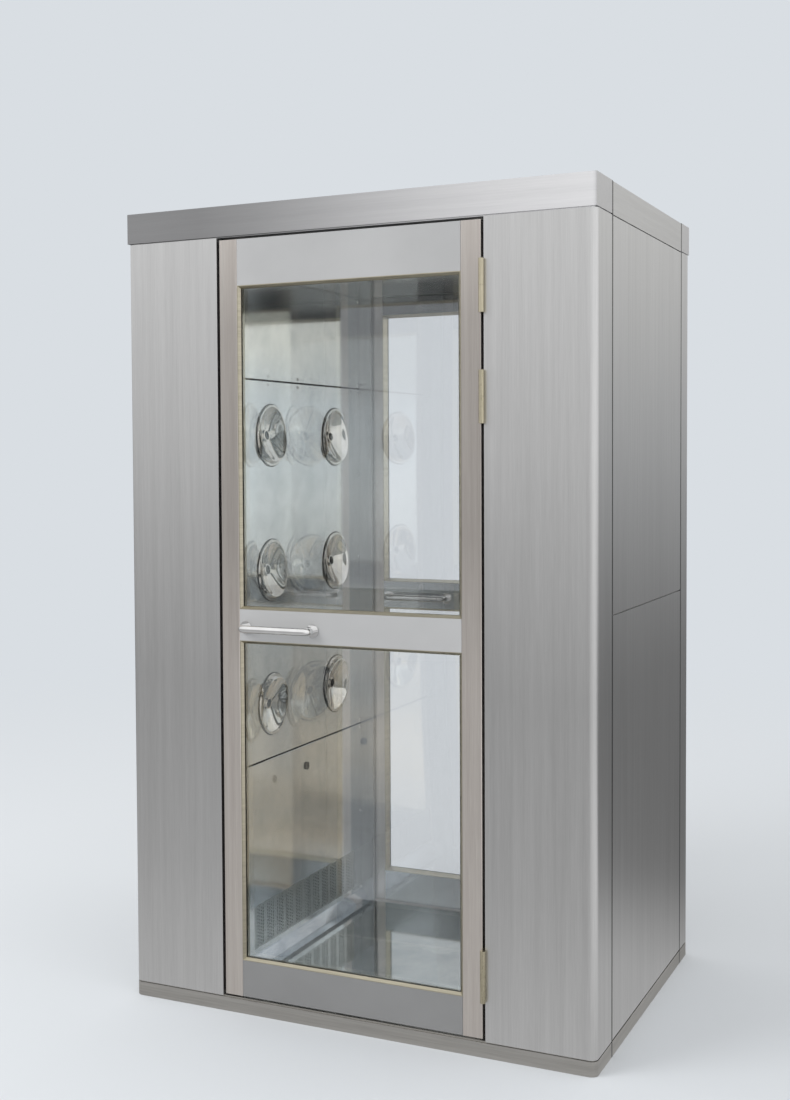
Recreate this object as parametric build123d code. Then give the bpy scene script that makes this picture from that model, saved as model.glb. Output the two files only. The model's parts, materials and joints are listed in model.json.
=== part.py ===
from build123d import *
import os
from math import cos, radians, sin

# Walk-through air shower: a stainless cabin with a chamber between two side
# compartments and a hinged glazed door at each end.
# X runs across the cabin, -Y is the front, +Z is up. The origin is on the
# ground below the middle of the cabin. All sizes are in millimetres.

# Whole cabin
cabin_width = 1300.0
cabin_depth = 1000.0
cabin_height = 2150.0
base_height = 40.0
header_height = 83.0

# Folded sheet panels of the outside
panel_thickness = 20.0
corner_radius = 20.0
front_return = 142.0
rear_return = 101.0
side_seam_height = 1095.0
seam_gap = 3.0
seam_depth = 6.0
roof_drop = 2.0

# Chamber between the side compartments
chamber_beyond_door = 17.0
ceiling_below_header = 72.0
floor_thickness = 5.0
floor_bearing_width = 40.0
wall_thickness = 15.0
ceiling_thickness = 20.0
wall_seam_gap = 3.0
wall_seam_depth = 3.0
wall_seam_edge = 1.5
skirting_height = 38.0
skirting_width = 20.0
skirting_lip_height = 10.0
skirting_edge_radius = 3.0

# Door frames
door_zone_width = 736.0
door_gap = 7.0
leaf_thickness = 40.0
stop_clearance = 5.0
stop_thickness = 12.0
stop_overlap = 19.5
head_rise = 25.0
seal_width = 10.0
seal_play = 0.5
seal_inset = 5.0
seal_edge = 1.5

# Door leaves
stile_width = 53.0
top_rail_height = 121.0
bottom_rail_height = 97.0
mid_rail_bottom = 1003.0
mid_rail_height = 83.0
rail_setback = 1.5
stile_edge_radius = 3.0
glass_setback = 7.0
glass_thickness = 8.0
glass_bite = 10.0
glass_play = 1.0
bead_width = 8.0
bead_edge = 2.0

# Pull handles, inside and outside each leaf
pull_diameter = 20.0
pull_centres = 196.0
pull_reach = 36.0
pull_bend_radius = 16.0
pull_end_margin = 2.0
pull_above_rail_foot = 35.0
rosette_diameter = 34.0
rosette_thickness = 4.0

# Butt hinges
top_hinge_drop = 160.0
second_hinge_drop = 429.0
low_hinge_rise = 158.0
hinge_length = 130.0
hinge_plate_thickness = 3.0
hinge_plate_depth = 34.0
knuckle_diameter = 14.0
knuckle_stand = 8.0
knuckle_play = 0.4
hinge_pin_diameter = 8.0
hinge_pin_play = 0.1

# Air nozzles: a ball with a conical mouth, held in a round flanged ring
nozzle_column_spacing = 424.0
nozzle_row_spacing = 385.0
nozzle_middle_height = 1165.0
nozzle_panel_margin = 155.0
fittings_towards_rear = 40.0
low_row_aim = -6.0
middle_row_aim = 6.0
high_row_aim = 9.0
ball_diameter = 166.0
ball_play = 0.3
ball_back_angle = 106.0
ball_wall = 3.0
mouth_angle = 74.0
mouth_fold = 8.0
mouth_rim = 3.0
dish_depth = 24.0
throat_diameter = 26.0
throat_length = 12.0
collar_height = 3.0
lip_angle = 76.0
seat_back_angle = 100.0
ring_proud = 5.0
ring_edge = 1.5
ring_neck = 2.0
ring_neck_play = 0.5
ring_cover = 2.7

# Return air grille low in each chamber wall
grille_groups = 11
grille_group_pitch = 60.0
grille_hole_columns = 3
grille_hole_rows = 5
grille_hole_size = 9.0
grille_column_pitch = 15.0
grille_row_pitch = 22.0
grille_middle_height = 160.0
grille_thickness = 4.0
grille_margin = 6.0

# Photo sensor eyes in the chamber walls
sensor_below_seam = 65.0
sensor_diameter = 24.0
sensor_bore = 14.0
sensor_proud = 4.0
sensor_recess = 3.0

# Derived places
half_width = cabin_width / 2
half_depth = cabin_depth / 2
header_bottom = cabin_height - header_height
half_chamber = door_zone_width / 2 + chamber_beyond_door
wall_back = half_chamber + wall_thickness
floor_top = base_height + floor_thickness
ceiling_bottom = header_bottom - ceiling_below_header
leaf_half = (door_zone_width - door_gap) / 2
jamb_half = (door_zone_width + door_gap) / 2
leaf_bottom = base_height + door_gap
leaf_top = header_bottom - door_gap
leaf_back = half_depth - leaf_thickness
stop_face = leaf_back - stop_clearance
chamber_end = stop_face - stop_thickness
stop_edge = leaf_half - stop_overlap
window_half = leaf_half - stile_width
glass_face = rail_setback + glass_setback - half_depth
window_bottom = leaf_bottom + bottom_rail_height
window_top = leaf_top - top_rail_height
mid_rail_top = mid_rail_bottom + mid_rail_height
nozzle_panel_bottom = nozzle_middle_height - nozzle_row_spacing - nozzle_panel_margin
nozzle_panel_top = nozzle_middle_height + nozzle_row_spacing + nozzle_panel_margin
sensor_height = nozzle_panel_bottom - sensor_below_seam
pull_height = mid_rail_bottom + pull_above_rail_foot
hinge_x = (leaf_half + jamb_half) / 2
hinge_y = -(half_depth + knuckle_stand)
hinge_heights = (leaf_top - top_hinge_drop, leaf_top - second_hinge_drop, leaf_bottom + low_hinge_rise)
ball_radius = ball_diameter / 2
seat_radius = ball_radius + ball_play
ring_neck_radius = seat_radius + ring_neck
ball_centre_depth = seat_radius * cos(radians(lip_angle)) - ring_proud


def block(x0, x1, y0, y1, z0, z1):
    """A rectangular block between two corners."""
    size = Box(x1 - x0, y1 - y0, z1 - z0)
    return Pos((x0 + x1) / 2, (y0 + y1) / 2, (z0 + z1) / 2) * size


def to_left(shape):
    """The same piece on the other side of the cabin."""
    return mirror(shape, about=Plane.YZ)


def to_rear(shape):
    """The same piece at the other end of the cabin."""
    return mirror(shape, about=Plane.XZ)


def both_sides(shape):
    return [shape, to_left(shape)]


def write(name, *solids):
    """One STEP file for each named piece or group of like pieces."""
    shape = solids[0] if len(solids) == 1 else Compound(children=list(solids))
    export_step(shape, f"parts/{name}.step")


def base_frame():
    """Plinth ring below the compartments and the door sills."""
    outline = RectangleRounded(cabin_width, cabin_depth, corner_radius)
    well = Rectangle(2 * (half_chamber - floor_bearing_width), 2 * (chamber_end - floor_bearing_width))
    ring = extrude(outline - well, base_height)
    step = RectangleRounded(
        cabin_width - 2 * seam_depth, cabin_depth - 2 * seam_depth, corner_radius - seam_depth
    )
    groove = extrude(outline - step, seam_gap)
    return ring - Pos(0, 0, base_height - seam_gap) * groove


def floor_plate():
    """Stainless floor of the chamber, bearing on the base frame."""
    return block(-half_chamber, half_chamber, -chamber_end, chamber_end, base_height, floor_top)


def floor_skirting():
    """Sloped kick strip along the foot of a chamber wall, with a rounded lip."""
    foot = half_chamber - skirting_width
    profile = Polyline(
        (half_chamber, floor_top),
        (foot, floor_top),
        (foot, floor_top + skirting_lip_height),
        (half_chamber - wall_seam_depth, floor_top + skirting_height),
        (half_chamber, floor_top + skirting_height),
        close=True,
    )
    strip = extrude(Plane.XZ * make_face(profile), chamber_end, both=True)
    lip = strip.edges().filter_by(Axis.Y).sort_by(Axis.X)[:2].sort_by(Axis.Z)[-1]
    return fillet(lip, skirting_edge_radius)


def header_end(side_return):
    """Front header: a channel across the door that returns round both corners."""
    back = side_return - half_depth
    shell = block(-half_width, half_width, -half_depth, back, header_bottom, cabin_height)
    x = half_width - panel_thickness
    inside = block(-x, x, panel_thickness - half_depth, back, header_bottom, cabin_height)
    seam_top = header_bottom + seam_gap
    groove = block(-half_width, half_width, -half_depth, back, header_bottom, seam_top)
    x = half_width - seam_depth
    core = block(-x, x, seam_depth - half_depth, back, header_bottom, seam_top)
    return shell - inside - (groove - core)


def stepped_panel(x_back, x_face, y0, y1, z0, z1):
    """A folded panel whose face is stepped in all round, so that seams show as grooves."""
    x_step = x_face - seam_depth
    body = block(x_back, x_step, y0, y1, z0, z1)
    inset = seam_gap / 2
    face = block(x_step, x_face, y0 + inset, y1 - inset, z0 + inset, z1 - inset)
    return body + face


def side_span():
    return front_return - half_depth, half_depth - rear_return


def header_side():
    y0, y1 = side_span()
    return stepped_panel(half_width - panel_thickness, half_width, y0, y1, header_bottom, cabin_height)


def side_panels():
    """Upper and lower panel of the right side."""
    y0, y1 = side_span()
    back = half_width - panel_thickness
    lower = stepped_panel(back, half_width, y0, y1, base_height, side_seam_height)
    upper = stepped_panel(back, half_width, y0, y1, side_seam_height, header_bottom)
    return [lower, upper]


def corner_panel(side_return):
    """Front right corner: one folded sheet from the door jamb round to the side seam."""
    back = side_return - half_depth
    front = block(jamb_half, half_width, -half_depth, back, base_height, header_bottom)
    x = half_width - panel_thickness
    hollow = block(jamb_half, x, panel_thickness - half_depth, back, base_height, header_bottom)
    bend = front.edges().filter_by(Axis.Z).sort_by(Axis.X)[-2:].sort_by(Axis.Y)[0]
    return fillet(bend, corner_radius) - hollow


def roof_panel():
    x = half_width - panel_thickness
    y = half_depth - panel_thickness
    top = cabin_height - roof_drop
    return block(-x, x, -y, y, top - panel_thickness, top)


def ceiling_panel():
    top = ceiling_bottom + ceiling_thickness
    return block(-wall_back, wall_back, -chamber_end, chamber_end, ceiling_bottom, top)


def chamber_wall(z0, z1):
    """A lining panel of the right chamber wall, stepped in and eased at its top and bottom."""
    step = half_chamber + wall_seam_depth
    eased = half_chamber + wall_seam_edge
    low = z0 + wall_seam_gap / 2
    high = z1 - wall_seam_gap / 2
    profile = Polyline(
        (wall_back, z0),
        (step, z0),
        (step, low),
        (eased, low),
        (half_chamber, low + wall_seam_edge),
        (half_chamber, high - wall_seam_edge),
        (eased, high),
        (step, high),
        (step, z1),
        (wall_back, z1),
        close=True,
    )
    return extrude(Plane.XZ * make_face(profile), chamber_end, both=True)


def nozzle_places():
    """Name, place along the wall, height and aim above level of each nozzle of a wall."""
    rows = (("low", -1, low_row_aim), ("middle", 0, middle_row_aim), ("high", 1, high_row_aim))
    columns = (("front", -0.5), ("rear", 0.5))
    places = []
    for level, rise, aim in rows:
        height = nozzle_middle_height + rise * nozzle_row_spacing
        for end, side in columns:
            along = side * nozzle_column_spacing + fittings_towards_rear
            places.append((f"{level}_{end}", along, height, aim))
    return places


def facing_in(along, height):
    """Nozzle frame: Z points out of the right wall into the chamber, from the ball's centre."""
    centre = (half_chamber + ball_centre_depth, along, height)
    return Plane(origin=centre, x_dir=(0, 1, 0), z_dir=(-1, 0, 0))


def nozzle_panel():
    panel = chamber_wall(nozzle_panel_bottom, nozzle_panel_top)
    hole = Circle(ring_neck_radius + ring_neck_play)
    for name, along, height, aim in nozzle_places():
        place = Plane(origin=(half_chamber, along, height), z_dir=(1, 0, 0))
        panel -= extrude(place * hole, wall_thickness)
    return panel


def polar(radius, angle):
    """Point of the nozzle's half section at an angle from its axis."""
    return (radius * sin(radians(angle)), radius * cos(radians(angle)))


def nozzle_ring():
    """Flanged ring whose spherical seat holds the ball in front of and behind its middle."""
    lip = polar(seat_radius, lip_angle)
    back = polar(seat_radius, seat_back_angle)
    front = lip[1]
    outer = ring_neck_radius + ring_cover
    with BuildSketch(Plane.XZ) as section:
        with BuildLine():
            Polyline(
                lip,
                (outer, front),
                (outer, ball_centre_depth),
                (ring_neck_radius, ball_centre_depth),
                (ring_neck_radius, back[1]),
                back,
            )
            ThreePointArc(back, polar(seat_radius, (lip_angle + seat_back_angle) / 2), lip)
        make_face()
    ring = revolve(section.sketch, Axis.Z)
    rim = ring.edges().filter_by(GeomType.CIRCLE).group_by(Axis.Z)[-1].sort_by(SortBy.RADIUS)[-1]
    return chamfer(rim, ring_edge)


def nozzle_ball():
    """Turned ball, bored out from behind, with a conical mouth and a throat tube with a collar."""
    mouth = polar(ball_radius, mouth_angle)
    back = polar(ball_radius, ball_back_angle)
    throat = throat_diameter / 2
    tube = throat + ball_wall
    foot = mouth[1] - dish_depth
    bore = back[0] - ball_wall
    with BuildSketch(Plane.XZ) as section:
        with BuildLine():
            Polyline(
                mouth,
                (mouth[0] - mouth_rim, mouth[1]),
                (tube, foot),
                (tube, foot + collar_height),
                (throat, foot + collar_height),
                (throat, foot - throat_length),
                (tube, foot - throat_length),
                (tube, foot - ball_wall),
                (bore, mouth[1] - mouth_fold),
                (bore, back[1]),
                back,
            )
            ThreePointArc(back, polar(ball_radius, (mouth_angle + ball_back_angle) / 2), mouth)
        make_face()
    return revolve(section.sketch, Axis.Z)


def aimed(ball, along, height, aim):
    """A ball in its seat, with its mouth turned up from level by the aim."""
    return facing_in(along, height) * Rot(aim, 0, 0) * ball


def grille_size():
    """Length and height of the perforated field."""
    return (
        grille_groups * grille_group_pitch + 2 * grille_margin,
        grille_hole_rows * grille_row_pitch + 2 * grille_margin,
    )


def return_panel():
    """Lowest lining panel of the right wall, with the grille's window and the sensor's hole."""
    length, height = grille_size()
    wall = Plane(origin=(half_chamber, 0, 0), x_dir=(0, 1, 0), z_dir=(1, 0, 0))
    window = Pos(fittings_towards_rear, grille_middle_height) * Rectangle(length, height)
    eye = Pos(fittings_towards_rear, sensor_height) * Circle(sensor_diameter / 2)
    cuts = extrude(wall * (window + eye), wall_thickness)
    return chamber_wall(base_height, nozzle_panel_bottom) - cuts


def return_grille():
    """Perforated plate: groups of staggered square holes."""
    length, height = grille_size()
    plate = Rectangle(length, height)
    holes = []
    for group in range(grille_groups):
        middle = (group - (grille_groups - 1) / 2) * grille_group_pitch
        for column in range(grille_hole_columns):
            u = middle + (column - (grille_hole_columns - 1) / 2) * grille_column_pitch
            stagger = column % 2
            for row in range(grille_hole_rows - stagger):
                v = (row - (grille_hole_rows - stagger - 1) / 2) * grille_row_pitch
                holes.append(Pos(u, v) * Rectangle(grille_hole_size, grille_hole_size))
    centre = (half_chamber, fittings_towards_rear, grille_middle_height)
    frame = Plane(origin=centre, x_dir=(0, 1, 0), z_dir=(1, 0, 0))
    return extrude(frame * (plate - holes), grille_thickness)


def photo_sensor():
    """Round eye pressed into the wall, with a recessed lens."""
    place = Plane(origin=(wall_back, fittings_towards_rear, sensor_height), z_dir=(-1, 0, 0))
    length = wall_thickness + sensor_proud
    barrel = Cylinder(sensor_diameter / 2, length, align=(Align.CENTER, Align.CENTER, Align.MIN))
    bore = Pos(0, 0, length - sensor_recess) * Cylinder(
        sensor_bore / 2, sensor_recess, align=(Align.CENTER, Align.CENTER, Align.MIN)
    )
    return place * (barrel - bore)


def door_frame():
    """Front door frame: two jambs and the head, welded in one piece."""
    top = header_bottom + head_rise
    front = panel_thickness - half_depth
    outside = block(-wall_back, wall_back, front, -stop_face, base_height, top)
    return outside - block(-jamb_half, jamb_half, front, -stop_face, base_height, header_bottom)


def door_stop():
    """Flat stop behind the frame, along both jambs and the head, that the leaf closes against."""
    top = header_bottom + head_rise
    outside = block(-wall_back, wall_back, -stop_face, -chamber_end, base_height, top)
    return outside - block(-stop_edge, stop_edge, -stop_face, -chamber_end, base_height, ceiling_bottom)


def door_seal():
    """Rubber seal along both jambs and the head, on the face of the stop."""
    inner = stop_edge + seal_inset
    outer = inner + seal_width
    top = leaf_top - seal_inset
    front = seal_play - leaf_back
    frame = block(-outer, outer, front, -stop_face, leaf_bottom, top)
    hole = block(-inner, inner, front, -stop_face, leaf_bottom, top - seal_width)
    seal = frame - hole
    edges = seal.faces().sort_by(Axis.Y)[0].edges()
    return chamfer(edges, seal_edge)


def stiles():
    stile = block(window_half, leaf_half, -half_depth, -leaf_back, leaf_bottom, leaf_top)
    upright = stile.edges().filter_by(Axis.Z).group_by(Axis.Y)[0]
    return both_sides(fillet(upright, stile_edge_radius))


def rail(z0, z1):
    return block(-window_half, window_half, rail_setback - half_depth, -leaf_back - rail_setback, z0, z1)


def glass_groove(shape):
    """Cuts the groove that holds the panes into a stile or rail."""
    for z0, z1 in windows():
        groove = block(
            -window_half - glass_bite - glass_play,
            window_half + glass_bite + glass_play,
            glass_face - glass_play,
            glass_face + glass_thickness + glass_play,
            z0 - glass_bite - glass_play,
            z1 + glass_bite + glass_play,
        )
        shape -= groove
    return shape


def windows():
    return [(window_bottom, mid_rail_bottom), (mid_rail_top, window_top)]


def panes():
    back = glass_face + glass_thickness
    x = window_half + glass_bite
    return [block(-x, x, glass_face, back, z0 - glass_bite, z1 + glass_bite) for z0, z1 in windows()]


def bead_ring(height, reach):
    """A ring of beads round a pane: square against the glass, sloped to a thin edge outside."""
    width = 2 * window_half
    near = Plane.XZ * Rectangle(width, height)
    hole = Plane.XZ * Rectangle(width - 2 * bead_width, height - 2 * bead_width)
    mouth = Plane.XZ.offset(reach) * Rectangle(width - 2 * bead_edge, height - 2 * bead_edge)
    return extrude(near, reach) - loft([hole.face(), mouth.face()])


def glazing_beads():
    """Beads round both panes, outside and inside."""
    back = glass_face + glass_thickness
    inside_reach = -leaf_back - rail_setback - back
    beads = []
    for z0, z1 in windows():
        centre = (z0 + z1) / 2
        outer = bead_ring(z1 - z0, glass_setback)
        inner = mirror(bead_ring(z1 - z0, inside_reach), about=Plane.XZ)
        beads += [Pos(0, glass_face, centre) * outer, Pos(0, back, centre) * inner]
    return beads


def pull_bar():
    """Bent tube handle on two rosettes, standing off the middle rail."""
    x0 = -window_half + rosette_diameter / 2 + pull_end_margin
    x1 = x0 + pull_centres
    y0 = rail_setback - half_depth
    y1 = y0 - pull_reach
    path = FilletPolyline(
        (x0, y0, pull_height),
        (x0, y1, pull_height),
        (x1, y1, pull_height),
        (x1, y0, pull_height),
        radius=pull_bend_radius,
    )
    section = Plane(origin=(x0, y0, pull_height), z_dir=(0, -1, 0)) * Circle(pull_diameter / 2)
    bar = sweep(section, path=path)
    for x in (x0, x1):
        foot = Plane(origin=(x, y0, pull_height), z_dir=(0, -1, 0))
        bar += foot * Cylinder(
            rosette_diameter / 2, rosette_thickness, align=(Align.CENTER, Align.CENTER, Align.MIN)
        )
    return bar


def pulls():
    outer = pull_bar()
    middle = -(half_depth + leaf_back) / 2
    inner = mirror(outer, about=Plane.XZ.offset(-middle))
    return [outer, inner]


def upright_cylinder(radius, z0, z1):
    return Pos(hinge_x, hinge_y, z0) * Cylinder(
        radius, z1 - z0, align=(Align.CENTER, Align.CENTER, Align.MIN)
    )


def hinge_plate(x0, x1, z0, z1, neck_z0, neck_z1):
    """Hinge plate in the gap beside the leaf, with a neck to its own knuckle."""
    plate = block(x0, x1, -half_depth, hinge_plate_depth - half_depth, z0, z1)
    neck = block(x0, x1, hinge_y, -half_depth, neck_z0, neck_z1)
    return plate + neck


def hinge_on_frame(height):
    """Lower knuckle with its pin, on the plate that is screwed to the frame."""
    z0 = height - hinge_length / 2
    z1 = height + hinge_length / 2
    plate = hinge_plate(jamb_half - hinge_plate_thickness, jamb_half, z0, z1, z0, height)
    knuckle = upright_cylinder(knuckle_diameter / 2, z0, height)
    pin = upright_cylinder(hinge_pin_diameter / 2, height, z1 - hinge_plate_thickness)
    return plate + knuckle + pin


def hinge_on_leaf(height):
    """Upper knuckle that drops over the pin, on the plate that is screwed to the leaf."""
    z0 = height - hinge_length / 2
    z1 = height + hinge_length / 2
    low = height + knuckle_play
    plate = hinge_plate(leaf_half, leaf_half + hinge_plate_thickness, z0, z1, low, z1)
    knuckle = upright_cylinder(knuckle_diameter / 2, low, z1)
    bore_top = z1 - hinge_plate_thickness + knuckle_play
    bore = upright_cylinder(hinge_pin_diameter / 2 + hinge_pin_play, low, bore_top)
    return plate + knuckle - bore


def build():
    os.makedirs("parts", exist_ok=True)
    write("base_frame", base_frame())
    write("floor_plate", floor_plate())
    write("floor_skirting", *both_sides(floor_skirting()))
    write("header_front", header_end(front_return))
    write("header_rear", to_rear(header_end(rear_return)))
    write("header_sides", *both_sides(header_side()))
    write("roof_panel", roof_panel())
    write("ceiling_panel", ceiling_panel())
    write("front_corner_panels", *both_sides(corner_panel(front_return)))
    write("rear_corner_panels", *both_sides(to_rear(corner_panel(rear_return))))
    right = side_panels()
    write("right_side_panels", *right)
    write("left_side_panels", *[to_left(panel) for panel in right])
    write("upper_wall_panels", *both_sides(chamber_wall(nozzle_panel_top, ceiling_bottom)))
    write("nozzle_panels", *both_sides(nozzle_panel()))
    write("return_panels", *both_sides(return_panel()))
    write("return_grilles", *both_sides(return_grille()))
    write("photo_sensors", *both_sides(photo_sensor()))
    frame = door_frame()
    write("front_door_frame", frame)
    write("rear_door_frame", to_rear(frame))
    stop = door_stop()
    write("front_door_stop", stop)
    write("rear_door_stop", to_rear(stop))
    seal = door_seal()
    write("door_seals", seal, to_rear(seal))
    ring = nozzle_ring()
    rings = [facing_in(along, height) * ring for name, along, height, aim in nozzle_places()]
    write("right_nozzle_rings", *rings)
    write("left_nozzle_rings", *[to_left(piece) for piece in rings])
    ball = nozzle_ball()
    for name, along, height, aim in nozzle_places():
        turned = aimed(ball, along, height, aim)
        write(f"nozzle_right_{name}", turned)
        write(f"nozzle_left_{name}", to_left(turned))
    fixed = [hinge_on_frame(height) for height in hinge_heights]
    write("hinge_frame_halves", *fixed, *[to_rear(half) for half in fixed])
    leaf = {
        "stiles": [glass_groove(stile) for stile in stiles()],
        "rails": [
            glass_groove(rail(leaf_bottom, window_bottom)),
            glass_groove(rail(mid_rail_bottom, mid_rail_top)),
            glass_groove(rail(window_top, leaf_top)),
        ],
        "glass": panes(),
        "beads": glazing_beads(),
        "pulls": pulls(),
        "hinge_halves": [hinge_on_leaf(height) for height in hinge_heights],
    }
    for name, solids in leaf.items():
        write(f"front_door_{name}", *solids)
        write(f"rear_door_{name}", *[to_rear(solid) for solid in solids])


build()
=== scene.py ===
import json
import math

import bpy
from mathutils import Matrix, Vector


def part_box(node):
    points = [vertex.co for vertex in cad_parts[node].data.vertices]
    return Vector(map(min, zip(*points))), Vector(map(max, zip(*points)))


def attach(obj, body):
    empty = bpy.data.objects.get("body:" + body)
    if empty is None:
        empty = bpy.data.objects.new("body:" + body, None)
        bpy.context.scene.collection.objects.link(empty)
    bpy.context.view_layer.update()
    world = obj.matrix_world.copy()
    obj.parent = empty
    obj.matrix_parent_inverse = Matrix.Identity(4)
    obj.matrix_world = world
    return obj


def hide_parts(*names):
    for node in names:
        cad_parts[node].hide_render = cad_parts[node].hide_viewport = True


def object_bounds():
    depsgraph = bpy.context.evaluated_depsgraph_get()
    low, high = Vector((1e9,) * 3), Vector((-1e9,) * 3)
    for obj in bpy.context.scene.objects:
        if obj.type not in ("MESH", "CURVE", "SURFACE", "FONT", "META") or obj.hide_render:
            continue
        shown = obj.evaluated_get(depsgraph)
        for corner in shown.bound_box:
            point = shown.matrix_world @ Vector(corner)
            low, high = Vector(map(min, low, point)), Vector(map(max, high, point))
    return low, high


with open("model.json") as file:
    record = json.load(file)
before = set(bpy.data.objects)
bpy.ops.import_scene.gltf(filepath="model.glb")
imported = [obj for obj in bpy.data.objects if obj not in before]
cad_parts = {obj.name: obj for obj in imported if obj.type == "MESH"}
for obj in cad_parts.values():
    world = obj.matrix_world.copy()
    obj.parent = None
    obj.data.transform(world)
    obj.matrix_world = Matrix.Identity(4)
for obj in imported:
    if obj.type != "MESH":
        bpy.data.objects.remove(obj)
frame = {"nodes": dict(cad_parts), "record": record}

cad_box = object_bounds()
bpy.ops.object.select_all(action="DESELECT")
MM = 0.001

# Outer panels and corners
# Folded 304 stainless sheet, ground to a vertical hairline before folding.
# Each one is hung on the inner frame, so thin dark seams show between them.

# Grinding marks of three sizes lie over each other: how many times the finest mark's
# size each one is, and the detail of its noise.
MARK_LAYERS = ((1.0, 2.0), (4.0, 3.0), (15.0, 1.0))
FINE_SHARE = 0.3
GRINDING_SPREAD = 0.15

# The upright side seams are too fine to show from the camera, so painted shade darkens
# the outer skin beside them too.
SIDE_SEAMS = [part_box("right_side_panels")[end][1] for end in (0, 1)]
SIDE_SKIN = 4 * MM
SIDE_FACE = cad_box[1][0] - SIDE_SKIN
SEAM_SHADE = 5 * MM
SEAM_SHADE_TONE = "5A5A5A"


def linear(code):
    """An sRGB hex colour as linear red, green, blue and alpha."""
    channels = []
    for start in (0, 2, 4):
        value = int(code[start:start + 2], 16) / 255
        channels.append(value / 12.92 if value <= 0.04045 else ((value + 0.055) / 1.055) ** 2.4)
    return (*channels, 1.0)


def add(tree, kind, inputs=None, stops=None, **settings):
    """Adds a shader node with its settings, its values or links, and a ramp's colour stops."""
    made = tree.nodes.new(kind)
    for name, value in settings.items():
        setattr(made, name, value)
    for name, value in (inputs or {}).items():
        if isinstance(value, bpy.types.NodeSocket):
            tree.links.new(value, made.inputs[name])
        else:
            made.inputs[name].default_value = value
    for index, (place, code) in enumerate(stops or []):
        ramp = made.color_ramp.elements
        stop = ramp[index] if index < 2 else ramp.new(place)
        stop.position = place
        stop.color = linear(code)
    return made


def new_material(name):
    """An empty material and its node tree."""
    material = bpy.data.materials.new(name)
    material.use_nodes = True
    material.node_tree.nodes.clear()
    return material, material.node_tree


def finish_with(material, *names):
    """Gives a material to CAD nodes."""
    for name in names:
        for slot in frame["nodes"][name].material_slots:
            slot.material = material


def steel(name, tones, mark, roughness, relief, fade=None, along="Z"):
    """Ground stainless. mark is the size of a grinding mark along X, Y and Z in mm,
    relief its depth in mm, tones its darkest and lightest colour, and fade the colours
    of a painted reflection laid over it from one end of the cabin to the other, along Z or X."""
    material, tree = new_material(name)
    place = add(tree, "ShaderNodeTexCoord").outputs["Object"]
    where = add(tree, "ShaderNodeSeparateXYZ", {"Vector": place}).outputs
    layers = []
    for size, detail in MARK_LAYERS:
        scale = [1 / (size * length * MM) for length in mark]
        marks = add(tree, "ShaderNodeMapping", {"Vector": place, "Scale": scale})
        noise = add(
            tree, "ShaderNodeTexNoise", {"Vector": marks.outputs[0], "Scale": 1.0, "Detail": detail}
        )
        layers.append(noise.outputs[0])
    fine, middling, broad = layers
    wide = add(tree, "ShaderNodeMath", {0: middling, 1: broad}, operation="ADD")
    half = add(tree, "ShaderNodeMath", {0: wide.outputs[0], 1: 0.5}, operation="MULTIPLY")
    both = add(
        tree,
        "ShaderNodeMix",
        {"Factor": FINE_SHARE, "A": half.outputs[0], "B": fine},
        data_type="FLOAT",
    ).outputs[0]
    tone = add(
        tree,
        "ShaderNodeValToRGB",
        {"Fac": both},
        stops=[(0.35, tones[0]), (0.65, tones[1])],
    )
    colour = tone.outputs["Color"]
    if fade:
        axis = "XYZ".index(along)
        share = add(
            tree,
            "ShaderNodeMapRange",
            {"Value": where[along], "From Min": cad_box[0][axis], "From Max": cad_box[1][axis]},
        )
        painted_light = add(tree, "ShaderNodeValToRGB", {"Fac": share.outputs["Result"]}, stops=fade)
        colour = add(
            tree,
            "ShaderNodeMix",
            {0: 1.0, 6: colour, 7: painted_light.outputs["Color"]},
            data_type="RGBA",
            blend_type="MULTIPLY",
        ).outputs[2]
    # Painted shade beside the side seams, on the side faces only.
    sideways = add(tree, "ShaderNodeMath", {0: where["X"]}, operation="ABSOLUTE")
    on_side = add(
        tree, "ShaderNodeMath", {0: sideways.outputs[0], 1: SIDE_FACE}, operation="GREATER_THAN"
    )
    for seam in SIDE_SEAMS:
        beside_seam = add(
            tree, "ShaderNodeMath", {0: where["Y"], 1: seam, 2: SEAM_SHADE}, operation="COMPARE"
        )
        shaded = add(
            tree,
            "ShaderNodeMath",
            {0: beside_seam.outputs[0], 1: on_side.outputs[0]},
            operation="MULTIPLY",
        )
        colour = add(
            tree,
            "ShaderNodeMix",
            {0: shaded.outputs[0], 6: colour, 7: linear(SEAM_SHADE_TONE)},
            data_type="RGBA",
        ).outputs[2]
    rough = add(
        tree,
        "ShaderNodeMapRange",
        {
            "Value": both,
            "To Min": roughness * (1 - GRINDING_SPREAD),
            "To Max": roughness * (1 + GRINDING_SPREAD),
        },
    )
    bump = add(tree, "ShaderNodeBump", {"Height": fine, "Strength": 0.5, "Distance": relief * MM})
    shader = add(
        tree,
        "ShaderNodeBsdfPrincipled",
        {
            "Base Color": colour,
            "Metallic": 1.0,
            "Roughness": rough.outputs["Result"],
            "Normal": bump.outputs["Normal"],
        },
    )
    add(tree, "ShaderNodeOutputMaterial", {"Surface": shader.outputs[0]})
    return material


# The hairline gives the eye fine upright streaks and a soft mirror without edges, and a
# painted reflection makes it a little greyer near the height of the pull bars.
hairline = steel(
    "vertical_hairline_stainless",
    tones=("D8D8D8", "E6E6E6"),
    mark=(1.0, 1.0, 55.0),
    roughness=0.38,
    relief=0.008,
    fade=[(0.0, "FFFFFF"), (0.19, "EBEBEB"), (0.42, "DFDFDF"), (0.7, "F2F2F2"), (1.0, "F6F6F6")],
)
finish_with(
    hairline,
    "front_corner_panels",
    "rear_corner_panels",
    "right_side_panels",
    "left_side_panels",
    "roof_panel",
)
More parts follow.
